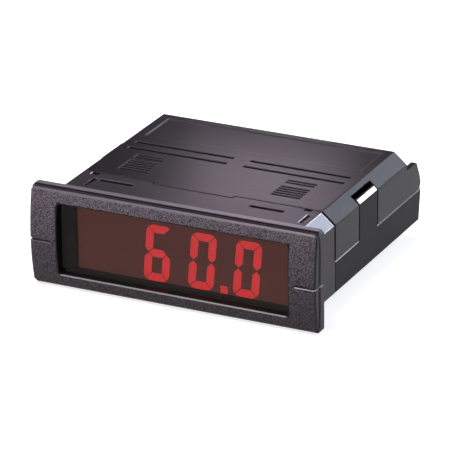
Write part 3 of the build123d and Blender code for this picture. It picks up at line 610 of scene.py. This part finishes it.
def lens_plastic(settings):
    """Thin tinted window, nearly clear, with faint smears."""
    material, tree, shader, place = new_material("lens_red")
    colour = tuple(settings.lens_colour)
    smear = mottle(tree, place, 120.0, shade(colour, 0.8), shade(colour, 1.2), 0.08, 0.16)
    join(tree, smear["Colour"], shader.inputs["Base Color"])
    join(tree, smear["Roughness"], shader.inputs["Roughness"])
    shader.inputs["Alpha"].default_value = 0.06
    shader.inputs["Specular IOR Level"].default_value = 0.0
    return material


def lit_segment(settings):
    """Glowing segment with a faint mottle."""
    material, tree, shader, place = new_material("segment_lit")
    glow = tuple(settings.glow_colour)
    grain = mottle(tree, place, 500.0, shade(glow, 0.92), shade(glow, 1.04), 0.4, 0.5)
    join(tree, grain["Colour"], shader.inputs["Emission Color"])
    join(tree, grain["Roughness"], shader.inputs["Roughness"])
    shader.inputs["Emission Strength"].default_value = 1.0
    shader.inputs["Base Color"].default_value = (0.03, 0.004, 0.004, 1.0)
    shader.inputs["Specular IOR Level"].default_value = 0.1
    return material


def resistor_finish():
    """Tan bodies with four colour rings each."""
    material, tree, shader, place = new_material("resistor_tan")
    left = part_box("resistors")[0][0]
    along = maths(tree, "SUBTRACT", separate(tree, place)["X"], left)
    share = maths(tree, "FRACT", maths(tree, "DIVIDE", along, RESISTOR_PITCH))
    bands = add(tree, "ShaderNodeValToRGB")
    bands.color_ramp.interpolation = "CONSTANT"
    elements = bands.color_ramp.elements
    for element in elements:
        element.color = (*RESISTOR_BODY, 1.0)
    for start, colour in RINGS:
        elements.new(start).color = (*colour, 1.0)
        elements.new(start + RING_WIDTH).color = (*RESISTOR_BODY, 1.0)
    join(tree, share, bands.inputs["Fac"])
    grain = mottle(tree, place, 1800.0, (0.85, 0.85, 0.85), (1.0, 1.0, 1.0), 0.35, 0.5)
    tan = blend_colours(tree, 1.0, bands.outputs["Color"], grain["Colour"], "MULTIPLY")
    join(tree, tan, shader.inputs["Base Color"])
    join(tree, grain["Roughness"], shader.inputs["Roughness"])
    return material


# Pieces


def dress(nodes, material):
    """Give CAD nodes a finish."""
    for name in nodes:
        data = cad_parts[name].data
        data.materials.clear()
        data.materials.append(material)


def dress_small_parts(rows):
    """Give the nodes of each row their mottled finish."""
    for nodes, name, dark, light, smooth, rough, others in rows:
        dress(nodes, speckled(name, dark, light, smooth, rough, **others))


def take(obj, node):
    """A finished piece stands for a CAD node."""
    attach(obj, BODY)
    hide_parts(node)


def outer_edges(shape, width):
    """The long outer edges that have room for a rounding."""
    chosen = []
    for edge in shape.edges:
        if len(edge.link_faces) != 2 or edge.calc_length() < SHORTEST * width:
            continue
        if not ROUND_FROM < edge.calc_face_angle_signed(0.0) < ROUND_TO:
            continue
        neighbours = (near for vert in edge.verts for near in vert.link_edges)
        if all(near.calc_length() > ROOM * width for near in neighbours):
            chosen.append(edge)
    return chosen


def rounded_copy(node, name, width, material):
    """A merged copy of a CAD node with its long outer edges rounded."""
    shape = bmesh.new()
    shape.from_mesh(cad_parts[node].data)
    bmesh.ops.remove_doubles(shape, verts=shape.verts, dist=MERGE)
    bmesh.ops.dissolve_limit(shape, angle_limit=FLAT, verts=shape.verts, edges=shape.edges)
    chosen = outer_edges(shape, width)
    rounding = shape.faces.layers.int.new("rounding")
    made = bmesh.ops.bevel(shape, geom=chosen, offset=width, offset_type="OFFSET", segments=2,
                           profile=0.5, affect="EDGES", clamp_overlap=False)
    for face in made["faces"]:
        face[rounding] = 1
    bmesh.ops.triangulate(shape, faces=[face for face in shape.faces if len(face.verts) > 4])
    for face in shape.faces:
        face.smooth = True
    for edge in shape.edges:
        sides = edge.link_faces
        alike = len(sides) == 2 and sides[0][rounding] == sides[1][rounding]
        edge.smooth = alike and edge.calc_face_angle(0.0) < CREASE
    mesh = bpy.data.meshes.new(name)
    shape.to_mesh(mesh)
    shape.free()
    mesh.materials.append(material)
    obj = bpy.data.objects.new(name, mesh)
    bpy.context.scene.collection.objects.link(obj)
    even = obj.modifiers.new("even_faces", "WEIGHTED_NORMAL")
    even.weight = 100
    even.keep_sharp = True
    shown = obj.evaluated_get(bpy.context.evaluated_depsgraph_get())
    obj.data = bpy.data.meshes.new_from_object(shown)
    obj.modifiers.remove(even)
    return obj


class METER_OT_bezel(bpy.types.Operator):
    """Round the bezel's edges and give it its grain"""

    bl_idname = "meter.bezel"
    bl_label = "Bezel"

    def execute(self, context):
        settings = context.scene.meter_finish
        finish = bezel_plastic(settings)
        obj = rounded_copy("bezel", "bezel_moulding", settings.edge_round, finish)
        take(obj, "bezel")
        return {"FINISHED"}


class METER_OT_case(bpy.types.Operator):
    """Round the edges of both case halves and give them their satin finish"""

    bl_idname = "meter.case"
    bl_label = "Case halves"

    def execute(self, context):
        settings = context.scene.meter_finish
        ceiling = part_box("case_top")[1][2]  # the upper half gets no painted glint, as none of it is higher
        upper = case_plastic(settings, "case_upper_plastic", 1.0, 0.37, 0.13, ceiling)
        lower = case_plastic(settings, "case_lower_plastic", 0.75, 0.46, 0.07, CASE_SEAM)
        halves = (("case_top", "case_upper_half", upper), ("case_base", "case_lower_half", lower))
        for node, name, finish in halves:
            take(rounded_copy(node, name, settings.edge_round, finish), node)
        return {"FINISHED"}


class METER_OT_display(bpy.types.Operator):
    """Finish the window, the mask and the digits"""

    bl_idname = "meter.display"
    bl_label = "Window and digits"

    def execute(self, context):
        settings = context.scene.meter_finish
        face = tuple(settings.face_colour)
        # The mask, the face and the unlit segments glow faintly: painted light that evens out the
        # shade behind the window
        matt_with_painted_glow = {"scale": 900.0, "gloss": 0.05, "glow": 0.8}
        dress(["lens"], lens_plastic(settings))
        dress(["lit_segments"], lit_segment(settings))
        dress_small_parts((
            (["display_mask"], "mask_black", (0.0090, 0.0085, 0.0080), (0.0110, 0.0105, 0.0100),
             0.6, 0.8, {"gloss": 0.05, "glow": 1.35}),
            (["display_body"], "display_face", shade(face, 0.97), shade(face, 1.03),
             0.7, 0.8, matt_with_painted_glow),
            (["dark_segments"], "segment_dark", shade(face, 0.97), shade(face, 1.04),
             0.65, 0.75, matt_with_painted_glow),
        ))
        return {"FINISHED"}


class METER_OT_boards(bpy.types.Operator):
    """Finish the boards and the parts on them"""

    bl_idname = "meter.boards"
    bl_label = "Boards"

    def execute(self, context):
        green = tuple(context.scene.meter_finish.board_colour)
        lacquer = speckled("board_green", shade(green, 0.8), shade(green, 1.15), 0.25, 0.4,
                           scale=700.0, relief=0.01 * MM)
        dress(["display_board", "main_board"], lacquer)
        dress(["resistors"], resistor_finish())
        dress_small_parts(BOARD_PARTS)
        return {"FINISHED"}


def joint_tree(material):
    """Geometry nodes that set a small cone of solder on each point."""
    tree = bpy.data.node_groups.new("solder_joints", "GeometryNodeTree")
    face = tree.interface
    face.new_socket(name="Points", in_out="INPUT", socket_type="NodeSocketGeometry")
    for label in ("Foot radius", "Tip radius", "Height"):
        face.new_socket(name=label, in_out="INPUT", socket_type="NodeSocketFloat")
    face.new_socket(name="Joints", in_out="OUTPUT", socket_type="NodeSocketGeometry")
    given, result = tree.nodes.new("NodeGroupInput"), tree.nodes.new("NodeGroupOutput")
    cone = add(tree, "GeometryNodeMeshCone", Vertices=JOINT_SIDES)
    join(tree, given.outputs["Foot radius"], cone.inputs["Radius Bottom"])
    join(tree, given.outputs["Tip radius"], cone.inputs["Radius Top"])
    join(tree, given.outputs["Height"], cone.inputs["Depth"])
    spread = add(tree, "GeometryNodeInstanceOnPoints", Rotation=(math.pi, 0.0, 0.0))
    join(tree, given.outputs["Points"], spread.inputs["Points"])
    join(tree, cone.outputs["Mesh"], spread.inputs["Instance"])
    real = tree.nodes.new("GeometryNodeRealizeInstances")
    join(tree, spread.outputs["Instances"], real.inputs["Geometry"])
    paint = add(tree, "GeometryNodeSetMaterial", Material=material)
    join(tree, real.outputs["Geometry"], paint.inputs["Geometry"])
    join(tree, paint.outputs["Geometry"], result.inputs["Joints"])
    return tree


def spaced(low, high, count):
    """Even places from one limit to another."""
    return [low + (high - low) * n / (count - 1) for n in range(count)]


def joint_points():
    """Places under the main board where leads come through."""
    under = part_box("main_board")[0][2]
    low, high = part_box("header_pins")
    row = spaced(low[0] + LEAD_HALF, high[0] - LEAD_HALF, PINS_A_ROW)
    points = [(x, high[1] - LEAD_HALF) for x in row]
    low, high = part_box("converter_legs")
    row = spaced(low[0] + LEAD_HALF, high[0] - LEAD_HALF, PINS_A_ROW)
    for y in (low[1] + LEAD_HALF, high[1] - LEAD_HALF):
        points += [(x, y) for x in row]
    low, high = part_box("resistor_leads")
    middle = (low[1] + high[1]) / 2
    reach = (RESISTORS - 1) * RESISTOR_PITCH
    for n in range(RESISTORS):
        points.append((low[0] + n * RESISTOR_PITCH + LEAD_HALF, middle))
        points.append((high[0] - reach + n * RESISTOR_PITCH - LEAD_HALF, middle))
    low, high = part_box("supply_capacitors")
    middle = (low[1] + high[1]) / 2
    for centre in (low[0] + CAN_RADIUS, high[0] - CAN_RADIUS):
        points += [(centre - CAN_LEAD, middle), (centre + CAN_LEAD, middle)]
    low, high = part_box("film_capacitors")
    for centre in (low[0] + FILM_HALF, high[0] - FILM_HALF):
        points += [(centre, low[1] + FILM_LEAD), (centre, high[1] - FILM_LEAD)]
    for trimmer in ("zero_trimmer", "span_trimmer"):
        low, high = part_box(trimmer)
        middle = (low[0] + high[0]) / 2
        row = spaced(low[1] + TRIMMER_LEAD, high[1] - TRIMMER_LEAD, TRIMMER_LEADS)
        points += [(middle, y) for y in row]
    return [(x, y, under) for x, y in points]


class METER_OT_solder_joints(bpy.types.Operator):
    """Set solder joints under the main board"""

    bl_idname = "meter.solder_joints"
    bl_label = "Solder joints"

    def execute(self, context):
        settings = context.scene.meter_finish
        solder = speckled("solder", (0.50, 0.50, 0.49), (0.68, 0.68, 0.66), 0.2, 0.38,
                          scale=1200.0, metal=1.0)
        tree = joint_tree(solder)
        mesh = bpy.data.meshes.new("joint_points")
        mesh.from_pydata(joint_points(), [], [])
        maker = bpy.data.objects.new("joint_points", mesh)
        context.scene.collection.objects.link(maker)
        modifier = maker.modifiers.new("joints", "NODES")
        modifier.node_group = tree
        values = {"Foot radius": settings.joint_radius, "Tip radius": JOINT_TIP,
                  "Height": settings.joint_height}
        for item in tree.interface.items_tree:
            if item.in_out == "INPUT" and item.name in values:
                modifier[item.identifier] = values[item.name]
        shown = maker.evaluated_get(context.evaluated_depsgraph_get())
        joints = bpy.data.meshes.new_from_object(shown)
        maker.modifiers.remove(modifier)
        bpy.data.objects.remove(maker)
        if not joints.polygons:
            raise RuntimeError("the solder joints came out empty")
        joints.name = "solder_joints"
        obj = bpy.data.objects.new("solder_joints", joints)
        context.scene.collection.objects.link(obj)
        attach(obj, BODY)
        return {"FINISHED"}


class METER_OT_terminals(bpy.types.Operator):
    """Finish the trimmers, the terminal block, its screws and clamps"""

    bl_idname = "meter.terminals"
    bl_label = "Trimmers and terminals"

    def execute(self, context):
        settings = context.scene.meter_finish
        dress_small_parts(TERMINAL_PARTS)
        finish = speckled("terminal_plastic", (0.016, 0.017, 0.018), (0.026, 0.027, 0.029),
                          0.38, 0.5, scale=3500.0, relief=0.015 * MM)
        obj = rounded_copy("terminal_block", "terminal_housing", settings.edge_round, finish)
        take(obj, "terminal_block")
        return {"FINISHED"}


# Stage


def floor_finish(colour):
    """Pale floor that stays white to the camera and keeps the shadow."""
    material = bpy.data.materials.new("pale_floor")
    material.use_nodes = True
    tree = material.node_tree
    tree.nodes.clear()
    output = tree.nodes.new("ShaderNodeOutputMaterial")
    diffuse = add(tree, "ShaderNodeBsdfDiffuse", Color=(*colour, 1.0))
    lift = add(tree, "ShaderNodeEmission", Color=(1.0, 1.0, 1.0, 1.0))
    path = tree.nodes.new("ShaderNodeLightPath").outputs
    seen = maths(tree, "MAXIMUM", path["Is Camera Ray"], path["Is Glossy Ray"])
    seen = maths(tree, "MAXIMUM", seen, path["Is Transmission Ray"])
    join(tree, times(tree, seen, FLOOR_LIFT), lift.inputs["Strength"])
    both = tree.nodes.new("ShaderNodeAddShader")
    join(tree, diffuse.outputs["BSDF"], both.inputs[0])
    join(tree, lift.outputs["Emission"], both.inputs[1])
    join(tree, both.outputs["Shader"], output.inputs["Surface"])
    return material


def lay_floor(scene, colour):
    """A wide floor that the meter stands on."""
    corners = [(-1, -1), (1, -1), (1, 1), (-1, 1)]
    mesh = bpy.data.meshes.new("floor")
    mesh.from_pydata([(x * FLOOR_HALF, y * FLOOR_HALF, cad_box[0][2]) for x, y in corners],
                     [], [(0, 1, 2, 3)])
    mesh.materials.append(floor_finish(colour))
    floor = bpy.data.objects.new("floor", mesh)
    scene.collection.objects.link(floor)


def light_sky(scene):
    """A dim sky, lighter towards the horizon."""
    world = bpy.data.worlds.new("studio")
    world.use_nodes = True
    tree = world.node_tree
    tree.nodes.clear()
    output = tree.nodes.new("ShaderNodeOutputWorld")
    sky = tree.nodes.new("ShaderNodeBackground")
    way = separate(tree, tree.nodes.new("ShaderNodeTexCoord").outputs["Generated"])
    colour = blend_colours(tree, ramp(tree, way["Z"], *SKY_FADE), SKY_LOW, SKY_HIGH)
    join(tree, colour, sky.inputs["Color"])
    join(tree, sky.outputs["Background"], output.inputs["Surface"])
    scene.world = world


def soft_lamp(scene, name, place, aim, size, power, colour):
    """A rectangular soft lamp that the camera doesn't see."""
    lamp = bpy.data.lights.new(name, "AREA")
    lamp.shape = "RECTANGLE"
    lamp.size, lamp.size_y = size[0] * MM, size[1] * MM
    lamp.energy = power
    lamp.color = colour
    obj = bpy.data.objects.new(name, lamp)
    obj.location = Vector(place) * MM
    obj.rotation_euler = (Vector(place) - Vector(aim)).to_track_quat("Z", "Y").to_euler()
    obj.visible_camera = False
    scene.collection.objects.link(obj)


def place_camera(scene, stage):
    """A camera on a sphere round its target, turned by its roll."""
    camera = bpy.data.cameras.new("camera")
    camera.lens = stage.lens
    camera.sensor_width = SENSOR_WIDTH
    camera.clip_start = CLIP_START
    turn, rise, roll = stage.azimuth, stage.elevation, stage.roll
    flat = math.cos(rise)
    back = Vector((math.sin(turn) * flat, -math.cos(turn) * flat, math.sin(rise)))
    right = Vector((math.cos(turn), math.sin(turn), 0.0))
    up = back.cross(right)
    level = math.cos(roll) * right + math.sin(roll) * up
    plumb = math.cos(roll) * up - math.sin(roll) * right
    eye = Vector(stage.target) + back * stage.distance
    obj = bpy.data.objects.new("camera", camera)
    obj.matrix_world = Matrix((
        (level.x, plumb.x, back.x, eye.x),
        (level.y, plumb.y, back.y, eye.y),
        (level.z, plumb.z, back.z, eye.z),
        (0.0, 0.0, 0.0, 1.0)))
    scene.collection.objects.link(obj)
    scene.camera = obj


class METER_OT_stage(bpy.types.Operator):
    """Lay the floor, set the lamps and place the camera"""

    bl_idname = "meter.stage"
    bl_label = "Stage"

    def execute(self, context):
        scene = context.scene
        stage = scene.meter_stage
        scene.view_settings.view_transform = "Standard"
        lay_floor(scene, tuple(stage.floor_colour))
        light_sky(scene)
        for lamp in LAMPS:
            soft_lamp(scene, *lamp)
        place_camera(scene, stage)
        return {"FINISHED"}


OPERATORS = (
    METER_OT_bezel,
    METER_OT_case,
    METER_OT_display,
    METER_OT_boards,
    METER_OT_solder_joints,
    METER_OT_terminals,
    METER_OT_stage,
)


class METER_PT_sidebar(bpy.types.Panel):
    """The meter's settings and the steps that finish it"""

    bl_idname = "METER_PT_sidebar"
    bl_label = "Panel meter"
    bl_space_type = "VIEW_3D"
    bl_region_type = "UI"
    bl_category = "Meter"

    def draw(self, context):
        for settings in (context.scene.meter_finish, context.scene.meter_stage):
            box = self.layout.box()
            for name in settings.bl_rna.properties.keys():
                if name not in ("rna_type", "name"):
                    box.prop(settings, name)
        for operator in OPERATORS:
            self.layout.operator(operator.bl_idname)


CLASSES = (MeterFinishSettings, MeterStageSettings, *OPERATORS, METER_PT_sidebar)


def register():
    for item in CLASSES:
        bpy.utils.register_class(item)
    bpy.types.Scene.meter_finish = bpy.props.PointerProperty(type=MeterFinishSettings)
    bpy.types.Scene.meter_stage = bpy.props.PointerProperty(type=MeterStageSettings)


def unregister():
    del bpy.types.Scene.meter_stage
    del bpy.types.Scene.meter_finish
    for item in reversed(CLASSES):
        bpy.utils.unregister_class(item)


def main():
    """Register the classes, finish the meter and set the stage."""
    register()
    bpy.ops.meter.bezel()
    bpy.ops.meter.case()
    bpy.ops.meter.display()
    bpy.ops.meter.boards()
    bpy.ops.meter.solder_joints()
    bpy.ops.meter.terminals()
    bpy.ops.meter.stage()


if __name__ == "__main__":
    main()
